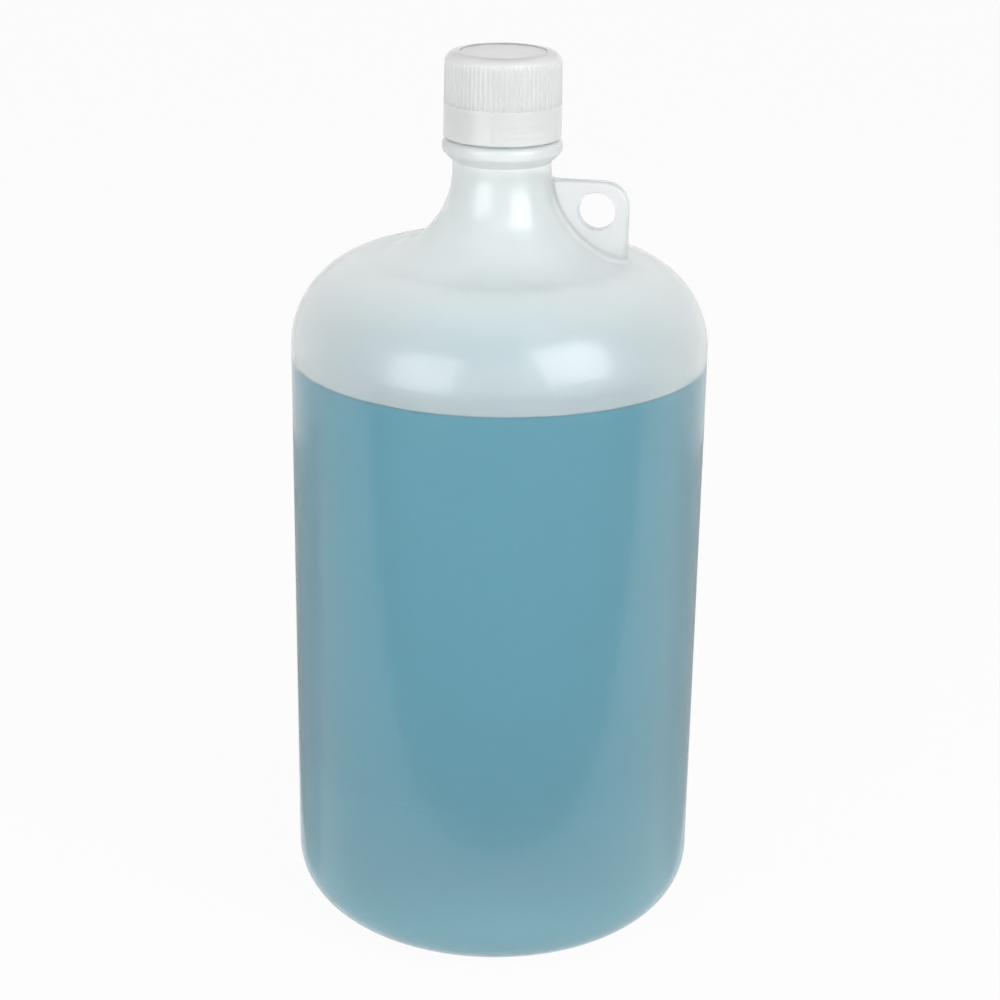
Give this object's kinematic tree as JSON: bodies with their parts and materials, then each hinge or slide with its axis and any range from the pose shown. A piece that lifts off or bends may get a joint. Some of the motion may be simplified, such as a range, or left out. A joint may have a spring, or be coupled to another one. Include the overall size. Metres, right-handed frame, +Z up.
{
  "type": "narrow mouth lab bottle",
  "caption": "Translucent cylindrical bottle with a rounded shoulder, narrow flared neck, side lug with a hole and ribbed screw cap, holding a blue liquid.",
  "frame": {"origin": "centre of the base, on the plane that the bottle stands on", "axes": "+Z up along the bottle's axis, +X towards the lug beside the neck, +Y along the hole in the lug"},
  "size_m": [0.158, 0.158, 0.3407],
  "materials": {
    "bottle_wall": "milky translucent blown polypropylene, satin",
    "cap": "milky translucent moulded polypropylene, satin",
    "liquid": "clear blue liquid"
  },
  "bodies": {
    "bottle": {"bottle": "bottle_wall", "blue_liquid": "liquid"},
    "cap": {"screw_cap": "cap"}
  },
  "joints": [
    {"name": "cap_lift", "type": "slide", "parent": "bottle", "child": "cap", "axis": [0, 0, 1], "range_m": [0, 0.06]}
  ]
}
